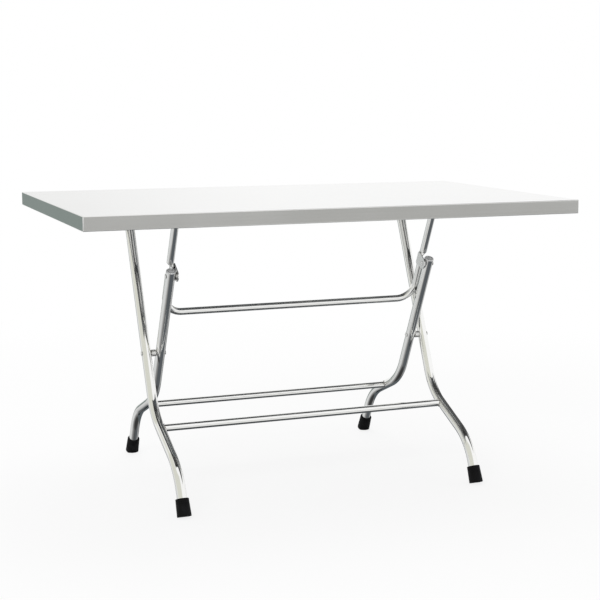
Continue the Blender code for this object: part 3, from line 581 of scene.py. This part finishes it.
def lockFramePath(look):
    fadeStart = pivotAlongArm - look["crimpFlat"] / 2 - look["crimpFade"]
    fadeEnd = pivotAlongArm + look["crimpFlat"] / 2
    fades = [look["crimpFade"] * k / look["crimpSteps"] for k in range(look["crimpSteps"] + 1)]
    stations = [-look["head"], fadeStart / 2]
    stations += [start + fade for start in (fadeStart, fadeEnd) for fade in fades]
    half = [(look["armX"], station) for station in stations]
    center = (look["armX"] - look["cornerRadius"], look["armLength"] - look["cornerRadius"])
    half += arcProfile(center, look["cornerRadius"], 0, 90, look["cornerSteps"])
    half += [(half[-1][0] * share, half[-1][1]) for share in (0.75, 0.5, 0.25)]
    outline = half + [(0, half[-1][1])] + [(-across, down) for across, down in reversed(half)]
    return [lockHinge + Vector((across, 0, 0)) + armDown * down for across, down in outline]


def pressArms(mesh, look):
    # presses each arm to half its thickness against its inner face, and widens it a little
    radius = thinTube["diameter"] / 2
    for vertex in mesh.vertices:
        offset = vertex.co - lockHinge
        past = abs(offset.dot(armDown) - pivotAlongArm) - look["crimpFlat"] / 2
        share = min(max(1 - past / look["crimpFade"], 0), 1)
        share = share * share * (3 - 2 * share)
        if share > 0 and abs(offset.x) > look["armX"] - 2 * radius:
            side = math.copysign(1, offset.x)
            fromInner = side * offset.x - (look["armX"] - radius)
            widen = armOut * offset.dot(armOut) * look["spread"] * share
            vertex.co += widen - Vector((side * fromInner * look["flatten"] * share, 0, 0))


def makeLockFrame(look):
    skin = sweptTube("lockFrameTube", lockFramePath(look), thinTube)
    pressArms(skin, look)
    mesh = hollowed(skin, "lockFrameTube", thinTube["wall"])
    addPiece("lockFrameTube", mesh, "lock_frame", None, ["lock_frame_tube"])


makeLockFrame(lockFrame)


# pivot plates welded to the lock frame's arms, with a round nose at the pivot

pivotPlate = {"inner": 0.3457, "outer": 0.3487, "nose": 0.015, "noseSteps": 24, "length": 0.038,
              "pastArm": 0.004, "corner": 0.005, "cornerSteps": 8, "easing": 0.0005, "easingSteps": 3,
              "armBead": 0.012, "backBead": 0.011, "beadLift": 0.0006, "beadSteps": 6, "beadSeed": 1.7}


def makePivotPlates(look):
    back = armBehindPivot + look["pastArm"]
    half = look["length"] / 2
    corner = look["corner"]
    outline = arcProfile((0, 0), look["nose"], 90, 270, look["noseSteps"])
    outline += arcProfile((back - corner, corner - half), corner, -90, 0, look["cornerSteps"])
    outline += arcProfile((back - corner, half - corner), corner, 0, 90, look["cornerSteps"])
    for sideName, side in sides:
        inner = Vector((side * look["inner"], 0, 0)) + lockPivot
        points = [inner + armOut * across - armDown * up for across, up in outline]
        name = "pivotPlate" + sideName.capitalize()
        plate = extrudedMesh(name, points, (side * (look["outer"] - look["inner"]), 0, 0))
        mesh = eased(plate, name, look["easing"], look["easingSteps"])
        addPiece(name, mesh, "lock_frame", steel["pressedSteel"], ["lock_plate_" + sideName],
                 smooth=0)
    beads = []
    steps = look["beadSteps"]
    armHalf = thinTube["diameter"] / 2 * (1 + lockFrame["spread"])
    lines = ((armBehindPivot - armHalf, look["armBead"]), (back + seatGap, look["backBead"]))
    for number, (sideName, side) in enumerate(sides):
        face = Vector((side * (look["outer"] + look["beadLift"]), 0, 0)) + lockPivot
        for across, reach in lines:
            line = [face + armOut * across + armDown * reach * k / steps for k in range(-steps, steps + 1)]
            beads.append(weldBead("plateBead", line, False, look["beadSeed"] * number + across))
    addPiece("pivotPlateWelds", merged(beads, "pivotPlateWelds"), "lock_frame", weldSteel)


makePivotPlates(pivotPlate)
print("lock frame made")


# pins and rivets, one mesh for each kind on each body

# the rim is a share of a head's height, its upright part and its easing are shares of the rim;
# gap and fromTube are measured from the skin of the hinged tube, belowTop from the bracket's top
headShape = {"rim": 0.22, "upright": 0.3, "easing": 0.4, "domeSteps": 8}
pinHead = {"radius": 0.0075, "height": 0.0030, "shank": 0.004, "length": 0.0145, "gap": 0.0029}
pivotHead = {"radius": 0.0066, "height": 0.0008, "shank": 0.004, "length": 0.0140}
crossingHead = {**pivotHead, "length": 0.0257}
bracketRivet = {"radius": 0.0040, "height": 0.0018, "shank": 0.002, "length": 0.0041, "tail": 0.0034,
                "tailHeight": 0.00099, "tailSteps": 5, "fromTube": 0.0106, "belowTop": 0.0023}
rivetAround = 36


def headProfile(look):
    # a low domed head with a small upright rim, down to where its shank starts
    rim = look["height"] * headShape["rim"]
    profile = domeProfile(look["radius"], look["height"] - rim, rim, headShape["domeSteps"])
    return profile + [(look["radius"], rim * headShape["upright"]),
                      (look["radius"] - rim * headShape["easing"], 0), (look["shank"], 0)]


def pinProfile(look):
    return headProfile(look) + [(look["shank"], -look["length"]), (0, -look["length"])]


def bracketRivetProfile(look):
    # the shank goes through flange and web, to a flatter formed head behind
    tail = domeProfile(look["tail"], -look["tailHeight"], -look["length"], look["tailSteps"])
    return headProfile(look) + [(look["shank"], -look["length"])] + tail[::-1]


def addHeads(name, profile, spots, body, finish, nodes):
    mesh = setOnPoints(name, turnedMesh(name, profile, rivetAround), spots, steel[finish])
    addPiece(name, mesh, body, None, nodes)


def legCrossing():
    # where a front and a rear leg cross, seen from the side
    start, down, rise = frontLayout["pivot"], frontLayout["down"], rearLayout["down"]
    apart = lockPivot - start
    return start + down * ((apart.y * rise.z - apart.z * rise.y) / (down.y * rise.z - down.z * rise.y))


def makeRivets():
    legHalf = legTube["diameter"] / 2
    hinges = ((frontLegs["x"], legHalf, frontLayout["pivot"]),
              (lockFrame["armX"], thinTube["diameter"] / 2, lockHinge))
    spots = [(Vector((side * x + outward * (half + pinHead["gap"]), 0, 0)) + place, (outward, 0, 0))
             for x, half, place in hinges for sideName, side in sides for outward in (-1, 1)]
    addHeads("hingePins", pinProfile(pinHead), spots, "tabletop", "rivetSteel",
             both("front_leg_pin_") + both("lock_frame_pin_"))

    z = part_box("front_leg_bracket_left")[1].z - bracketRivet["belowTop"]
    spots = [(Vector((side * x + outward * (half + bracketRivet["fromTube"]), place.y, z)), (0, 0, -1))
             for x, half, place in hinges for sideName, side in sides for outward in (-1, 1)]
    nodes = [stem + str(k) for stem in ("rear_bracket_rivet_", "front_bracket_rivet_") for k in (1, 2, 3, 4)]
    addHeads("bracketRivets", bracketRivetProfile(bracketRivet), spots, "tabletop", "rivetSteel", nodes)

    ends = ((rearLegs["x"] + legHalf + seatGap, 1), (pivotPlate["inner"] - seatGap, -1))
    spots = [(Vector((side * x, 0, 0)) + lockPivot, (side * outward, 0, 0))
             for sideName, side in sides for x, outward in ends]
    addHeads("lockPivotRivets", pinProfile(pivotHead), spots, "lock_frame", "turnedSteel",
             both("lock_pivot_rivet_"))

    halves = (("Outer", "front_legs", frontLegs["x"] + legHalf + seatGap, 1),
              ("Inner", "rear_legs", rearLegs["x"] - legHalf - seatGap, -1))
    for half, body, x, outward in halves:
        spots = [(crossing + Vector((side * x, 0, 0)), (side * outward, 0, 0)) for sideName, side in sides]
        addHeads("crossingRivets" + half, pinProfile(crossingHead), spots, body, "turnedSteel",
                 both("crossing_rivet_" + half.lower() + "_"))


crossing = legCrossing()
makeRivets()
print("rivets set")


# spacers between the crossed legs and washers beside the pivot plates

legSpacer = {"radius": 0.009, "bore": 0.0043, "length": 0.0120, "chamfer": 0.0008}
legSpacer["x"] = frontLegs["x"] - legTube["diameter"] / 2 - seatGap - legSpacer["length"] / 2
pivotWasher = {"radius": 0.010, "bore": 0.0043, "length": 0.0020, "chamfer": 0.0004, "x": 0.3500}
ringAround = 40


def ringProfile(look):
    half = look["length"] / 2
    edge = look["chamfer"]
    return [(look["bore"], half), (look["radius"] - edge, half), (look["radius"], half - edge),
            (look["radius"], edge - half), (look["radius"] - edge, -half), (look["bore"], -half)]


def addRing(name, look, sideName, side, center, body, finish, stem):
    place = placeAlong((1, 0, 0), center + Vector((side * look["x"], 0, 0)))
    mesh = turnedMesh(name, ringProfile(look), ringAround, place)
    addPiece(name + sideName.capitalize(), mesh, body, steel[finish], [stem + sideName], smooth=30)


for sideName, side in sides:
    addRing("legSpacer", legSpacer, sideName, side, crossing, "front_legs", "turnedSteel",
            "crossing_spacer_")
    addRing("pivotWasher", pivotWasher, sideName, side, lockPivot, "lock_frame", "rivetSteel",
            "lock_pivot_washer_")


# rubber feet: square on the ends of the legs, ribbed near the top, with the heel cut level on the floor

rubberFoot = {"inner": 0.0130, "mouth": 0.0005, "top": 0.0168, "flare": 0.0013, "length": 0.048,
              "end": 0.0044, "seat": 0.0137, "rimRadius": 0.0012, "rimSteps": 5, "endRadius": 0.0009,
              "endSteps": 4, "ribs": 4, "ribStart": 0.0036, "ribPitch": 0.0030, "ribDepth": 0.00035,
              "around": 56}
ribShape = ((0, 0), (0.0005, 1), (0.0011, 1), (0.0016, 0))  # drop from a groove's start, share of its depth


def footProfile(look):
    length, end = look["length"], look["end"]
    rim, edge = look["rimRadius"], look["endRadius"]

    def outer(height):
        return look["top"] + look["flare"] * (length - height) / (length - end)

    profile = [(0, look["seat"]), (look["inner"], look["seat"]), (look["inner"], length - look["mouth"]),
               (look["inner"] + look["mouth"], length)]
    profile += arcProfile((look["top"] - rim, length - rim), rim, 90, 0, look["rimSteps"])
    for rib in range(look["ribs"]):
        high = length - look["ribStart"] - rib * look["ribPitch"]
        profile += [(outer(high - drop) - depth * look["ribDepth"], high - drop) for drop, depth in ribShape]
    profile += arcProfile((outer(end) - edge, end + edge), edge, 0, -90, look["endSteps"])
    return profile + [(0, end)]


def makeFeet(leg, layout, look):
    for sideName, side in sides:
        place = placeAlong(-layout["down"], layout["floor"] + Vector((side * leg["x"], 0, 0)))
        shape = bmesh.new()
        shape.from_mesh(turnedMesh("rubberFoot", footProfile(look), look["around"], place))
        cut = bmesh.ops.bisect_plane(shape, geom=shape.verts[:] + shape.edges[:] + shape.faces[:],
                                     plane_co=(0, 0, 0), plane_no=(0, 0, 1), clear_inner=True)
        rim = [item for item in cut["geom_cut"] if isinstance(item, bmesh.types.BMEdge)]
        bmesh.ops.holes_fill(shape, edges=rim, sides=0)
        bmesh.ops.recalc_face_normals(shape, faces=shape.faces)
        name = leg["foot"] + sideName.capitalize()
        node = leg["footNode"] + sideName
        addPiece(name, meshFrom(shape, name), leg["body"], blackRubber, [node], smooth=35)


makeFeet(frontLegs, frontLayout, rubberFoot)
makeFeet(rearLegs, rearLayout, rubberFoot)


# domed plugs in the rear legs' heads, and rubber stops between the rear legs and the lock frame's arms

headPlug = {"stem": 0.0112, "stemLength": 0.007, "collar": 0.0127, "collarRadius": 0.0030, "collarSteps": 8,
            "collarEdge": 0.0004, "groove": 0.0014, "dome": 0.0076, "domeHeight": 0.0034, "domeSteps": 12,
            "around": 48}
armStop = {"radius": 0.0045, "edge": 0.0010, "edgeSteps": 4, "sunk": 0.0010, "below": 0.098, "around": 32}


def plugProfile(look):
    # a low dome set in a rounded collar, with a stem that goes down into the tube
    high = seatGap + look["collarEdge"] + look["collarRadius"]
    base = high - look["groove"]
    profile = domeProfile(look["dome"], look["domeHeight"], base, look["domeSteps"])
    profile.append((look["dome"] + look["groove"], base))
    center = (look["collar"] - look["collarRadius"], high - look["collarRadius"])
    profile += arcProfile(center, look["collarRadius"], 90, 0, look["collarSteps"])
    return profile + [(look["collar"], seatGap), (look["stem"], seatGap), (look["stem"], -look["stemLength"]),
                      (0, -look["stemLength"])]


def stopProfile(look):
    base = legTube["diameter"] / 2 + seatGap - look["sunk"]
    tip = armBehindPivot - thinTube["diameter"] / 2 - seatGap
    radius, edge = look["radius"], look["edge"]
    corner = arcProfile((radius - edge, tip - edge), edge, 90, 0, look["edgeSteps"])
    return [(0, tip)] + corner + [(radius, base), (0, base)]


for sideName, side in sides:
    head = Vector((side * rearLegs["x"], 0, 0)) + lockPivot - armDown * rearLegs["head"]
    mesh = turnedMesh("headPlug", plugProfile(headPlug), headPlug["around"], placeAlong(-armDown, head))
    addPiece("headPlug" + sideName.capitalize(), mesh, "rear_legs", greyPlug,
             ["rear_leg_plug_" + sideName], smooth=50)
    middleX = side * (rearLegs["x"] + lockFrame["armX"]) / 2
    spot = Vector((middleX, 0, 0)) + lockPivot + armDown * armStop["below"]
    mesh = turnedMesh("armStop", stopProfile(armStop), armStop["around"], placeAlong(armOut, spot))
    addPiece("armStop" + sideName.capitalize(), mesh, "rear_legs", blackRubber,
             ["lock_stop_" + sideName])
print("feet, plugs and stops made")


# hinge brackets under the rails, and spot welds that hold the rails to the sheet

hingeBracket = {"sheet": 0.002, "depth": 0.030, "flange": 0.016, "clearance": 0.0006, "ear": 0.0125,
                "earSteps": 24, "earSunk": 0.0004, "easing": 0.0004, "easingSteps": 2}
spotWelds = {"radius": 0.0026, "height": 0.00018, "sunk": 0.0002, "pitch": 0.060, "inset": 0.0060,
             "flange": 0.0015, "around": 20}
weldDish = ((0, 0.2), (0.55, 0.35), (0.8, 1), (1, 0))  # shares of a spot weld's radius and height
rails = ("rear_hinge_rail", "front_hinge_rail")


def bracketEar(look, x, hinge, rootZ):
    half = look["depth"] / 2
    outline = [(half, rootZ - hinge.z), (-half, rootZ - hinge.z)]
    outline += arcProfile((0, 0), look["ear"], -180, 0, look["earSteps"])
    points = [(x - look["sheet"] / 2, hinge.y + across, hinge.z + up) for across, up in outline]
    return extrudedMesh("bracketEar", points, (look["sheet"], 0, 0))


def makeBrackets(look):
    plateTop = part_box("front_leg_bracket_left")[1].z
    kinds = (("legBracket", "front_leg_bracket_", frontLegs["x"], frontLayout["pivot"], legTube),
             ("lockBracket", "lock_frame_bracket_", lockFrame["armX"], lockHinge, thinTube))
    for kind, stem, x, hinge, tube in kinds:
        gap = tube["diameter"] / 2 + look["clearance"]
        size = (2 * (gap + look["sheet"] + look["flange"]), look["depth"], look["sheet"])
        for sideName, side in sides:
            plate = newBox(size, (side * x, hinge.y, plateTop - look["sheet"] / 2))
            parts = [meshFrom(plate, "bracketPlate")]
            for outward in (-1, 1):
                earX = side * x + outward * (gap + look["sheet"] / 2)
                parts.append(bracketEar(look, earX, hinge, plateTop - look["earSunk"]))
            name = kind + sideName.capitalize()
            mesh = eased(merged(parts, name), name, look["easing"], look["easingSteps"])
            addPiece(name, mesh, "tabletop", steel["pressedSteel"], [stem + sideName], smooth=0)


def makeSpotWelds(look):
    spots = []
    for node in rails:
        low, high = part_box(node)
        count = int((high.x - low.x - look["pitch"]) // look["pitch"])
        start = -(count * look["pitch"]) / 2
        for k in range(count + 1):
            for y in (low.y + look["inset"], high.y - look["inset"]):
                spots.append(((start + k * look["pitch"], y, high.z - look["flange"]), (0, 0, -1)))
    profile = [(look["radius"] * out, look["height"] * up) for out, up in weldDish] + [(0, -look["sunk"])]
    shape = turnedMesh("spotWeld", profile, look["around"])
    addPiece("railSpotWelds", setOnPoints("railSpotWelds", shape, spots, steel["foldedSteel"]), "tabletop",
             None)


makeBrackets(hingeBracket)
makeSpotWelds(spotWelds)
for node in rails:
    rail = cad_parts[node]
    rail.data.materials.clear()
    rail.data.materials.append(steel["foldedSteel"])
print("brackets and rails made")


# studio: bright steel is shaded by what it mirrors, a white room over a greyer ground with soft fields

studio = {"surround": (1.0, 1.0, 1.0), "softLight": 0.72, "floorColor": (0.93, 0.93, 0.93), "floorSize": 14.0,
          "floorDrop": 0.0005, "glowNear": 0.84, "glowFar": 1.0, "fadeStart": 1.1, "fadeEnd": 2.6,
          "aim": (0, 0, 0.4)}
mirroredGround = ((-90, 0.04), (-66, 0.05), (-56, 0.20), (-32, 0.46), (-15, 0.72), (0, 1.0))  # height, grey
# each field's azimuth clockwise from +Y, width, lowest and highest height above the horizon and softness,
# all in degrees, and its colour; a later field covers an earlier one
mirroredFields = {
    "leftFill": (-72, 96, -40, 2, 16, (0.70, 0.71, 0.71)),
    "leftWarm": (-112, 136, 4, 62, 8, (0.72, 0.72, 0.65)),
    "rightDark": (117, 52, -64, -28, 10, (0.10, 0.11, 0.12)),
    "frontDark": (178, 74, -64, -49, 6, (0.10, 0.11, 0.12)),
    "frontGlow": (156, 26, -41, -13, 5, (0.90, 0.90, 0.89)),
    "backDark": (24, 76, -70, -17, 8, (0.10, 0.115, 0.125)),
    "topShade": (-4, 36, 1, 24, 14, (0.87, 0.87, 0.865)),
    "kneeDark": (82, 76, 32, 74, 8, (0.07, 0.07, 0.07)),
    "kneeLowDark": (57, 26, 8, 36, 6, (0.10, 0.10, 0.10)),
    "frontGrey": (157, 32, -10, -2, 2, (0.48, 0.48, 0.47)),
    "underLight": (-126, 40, -46, -18, 6, (0.76, 0.76, 0.74)),
    "underDark": (-161, 28, -50, -24, 5, (0.04, 0.04, 0.04)),
    "backLeftGrey": (-12, 26, -12, -2, 3, (0.26, 0.30, 0.285)),
}
softboxes = (
    {"name": "keySoftbox", "place": (-2.4, -2.6, 3.2), "width": 2.4, "height": 1.8, "watts": 60},
    {"name": "topSoftbox", "place": (0.6, 1.2, 3.6), "width": 3.0, "height": 2.4, "watts": 55},
)
view = {"place": (-1.323, -3.398, 1.045), "yaw": 21.61, "pitch": -8.98, "roll": 0.13, "lens": 82.14,
        "sensor": 36}


def directionAngles(tree, direction, azimuth):
    # how far round from an azimuth a direction lies, and how far above the horizon, in radians
    inputs = {"Vector": direction, "Angle": math.radians(azimuth)}
    turned = addNode(tree, "ShaderNodeVectorRotate", inputs, rotation_type="Z_AXIS").outputs["Vector"]
    parts = addNode(tree, "ShaderNodeSeparateXYZ", {"Vector": turned}).outputs
    around = calc(tree, "ABSOLUTE", calc(tree, "ARCTAN2", parts["X"], parts["Y"]))
    return around, calc(tree, "ARCSINE", parts["Z"])


def fieldShare(tree, direction, azimuth, *measures):
    # how fully a direction lies inside one field: 1 in it, 0 outside, soft at its edges
    around, rise = directionAngles(tree, direction, azimuth)
    width, low, high, soft = (math.radians(measure) for measure in measures)
    half, soft = width / 2, soft / 2
    inside = stepBetween(tree, around, half - soft, half + soft, 1.0, 0.0)
    above = stepBetween(tree, rise, low - soft, low + soft)
    below = stepBetween(tree, rise, high - soft, high + soft, 1.0, 0.0)
    return calc(tree, "MULTIPLY", inside, calc(tree, "MULTIPLY", above, below))


def groundRamp(tree, direction):
    # grey by height below the horizon, white above it
    rise = directionAngles(tree, direction, 0)[1]
    share = calc(tree, "ADD", calc(tree, "DIVIDE", rise, math.pi / 2), 1.0)
    ramp = addNode(tree, "ShaderNodeValToRGB", {"Fac": share})
    stops = ramp.color_ramp.elements
    while len(stops) < len(mirroredGround):
        stops.new(0.5)
    for stop, (height, grey) in zip(stops, mirroredGround):
        stop.position = (height + 90) / 90
        stop.color = (grey, grey, grey, 1)
    return ramp.outputs["Color"]


def mixShaders(tree, share, first, second):
    return addNode(tree, "ShaderNodeMixShader", {0: share, 1: first, 2: second}).outputs[0]


def makeSurround():
    world = bpy.data.worlds.new("studioSurround")
    world.use_nodes = True
    bpy.context.scene.world = world
    tree = world.node_tree
    tree.nodes.clear()
    direction = addNode(tree, "ShaderNodeTexCoord").outputs["Generated"]
    mirrored = groundRamp(tree, direction)
    for *measures, color in mirroredFields.values():
        mirrored = mixColors(tree, fieldShare(tree, direction, *measures), mirrored, color)
    light, glossy, seen = [
        addNode(tree, "ShaderNodeBackground", inputs).outputs[0]
        for inputs in ({"Strength": studio["softLight"]}, {"Color": mirrored}, {"Color": studio["surround"]})]
    rays = addNode(tree, "ShaderNodeLightPath").outputs
    straight = calc(tree, "MAXIMUM", rays["Is Camera Ray"], rays["Is Transmission Ray"])
    whole = mixShaders(tree, straight, mixShaders(tree, rays["Is Glossy Ray"], light, glossy), seen)
    addNode(tree, "ShaderNodeOutputWorld", {"Surface": whole})


def makeFloor(look):
    # to the camera mostly plain white, wholly so further out, over lit paper that takes the shadow
    half, z = look["floorSize"] / 2, -look["floorDrop"]
    corners = [(-half, -half, z), (half, -half, z), (half, half, z), (-half, half, z)]
    mesh = bpy.data.meshes.new("studioFloor")
    mesh.from_pydata(corners, [], [(0, 1, 2, 3)])
    material = bpy.data.materials.new("floorWhite")
    material.use_nodes = True
    tree = material.node_tree
    tree.nodes.clear()
    place = addNode(tree, "ShaderNodeTexCoord").outputs["Object"]
    reach = addNode(tree, "ShaderNodeVectorMath", {0: place}, operation="LENGTH").outputs["Value"]
    glow = stepBetween(tree, reach, look["fadeStart"], look["fadeEnd"], look["glowNear"], look["glowFar"])
    seen = addNode(tree, "ShaderNodeLightPath").outputs["Is Camera Ray"]
    paper = addNode(tree, "ShaderNodeBsdfDiffuse", {"Color": look["floorColor"]}).outputs[0]
    white = addNode(tree, "ShaderNodeEmission").outputs[0]
    whole = mixShaders(tree, calc(tree, "MULTIPLY", seen, glow), paper, white)
    addNode(tree, "ShaderNodeOutputMaterial", {"Surface": whole})
    mesh.materials.append(material)
    floor = addObject("studioFloor", mesh)
    floor.visible_glossy = False


def makeSoftboxes():
    for box in softboxes:
        light = bpy.data.lights.new(box["name"], "AREA")
        light.shape = "RECTANGLE"
        light.size = box["width"]
        light.size_y = box["height"]
        light.energy = box["watts"]
        lamp = addObject(box["name"], light)
        turned = (Vector(studio["aim"]) - Vector(box["place"])).to_track_quat("-Z", "Y").to_matrix().to_4x4()
        lamp.matrix_world = Matrix.Translation(box["place"]) @ turned
        lamp.visible_glossy = False


def makeCamera(look):
    yaw, pitch, roll = (math.radians(look[key]) for key in ("yaw", "pitch", "roll"))
    ahead = Vector((math.sin(yaw) * math.cos(pitch), math.cos(yaw) * math.cos(pitch), math.sin(pitch)))
    right = ahead.cross(Vector((0, 0, 1))).normalized()
    up = right.cross(ahead)
    right, up = right * math.cos(roll) + up * math.sin(roll), up * math.cos(roll) - right * math.sin(roll)
    lens = bpy.data.cameras.new("photoCamera")
    lens.lens = look["lens"]
    lens.sensor_width = look["sensor"]
    camera = addObject("photoCamera", lens)
    turned = Matrix((right, up, -ahead)).transposed().to_4x4()
    camera.matrix_world = Matrix.Translation(look["place"]) @ turned
    bpy.context.scene.camera = camera


makeSurround()
makeFloor(studio)
makeSoftboxes()
makeCamera(view)
bpy.context.scene.view_settings.view_transform = "Standard"
print("studio made")
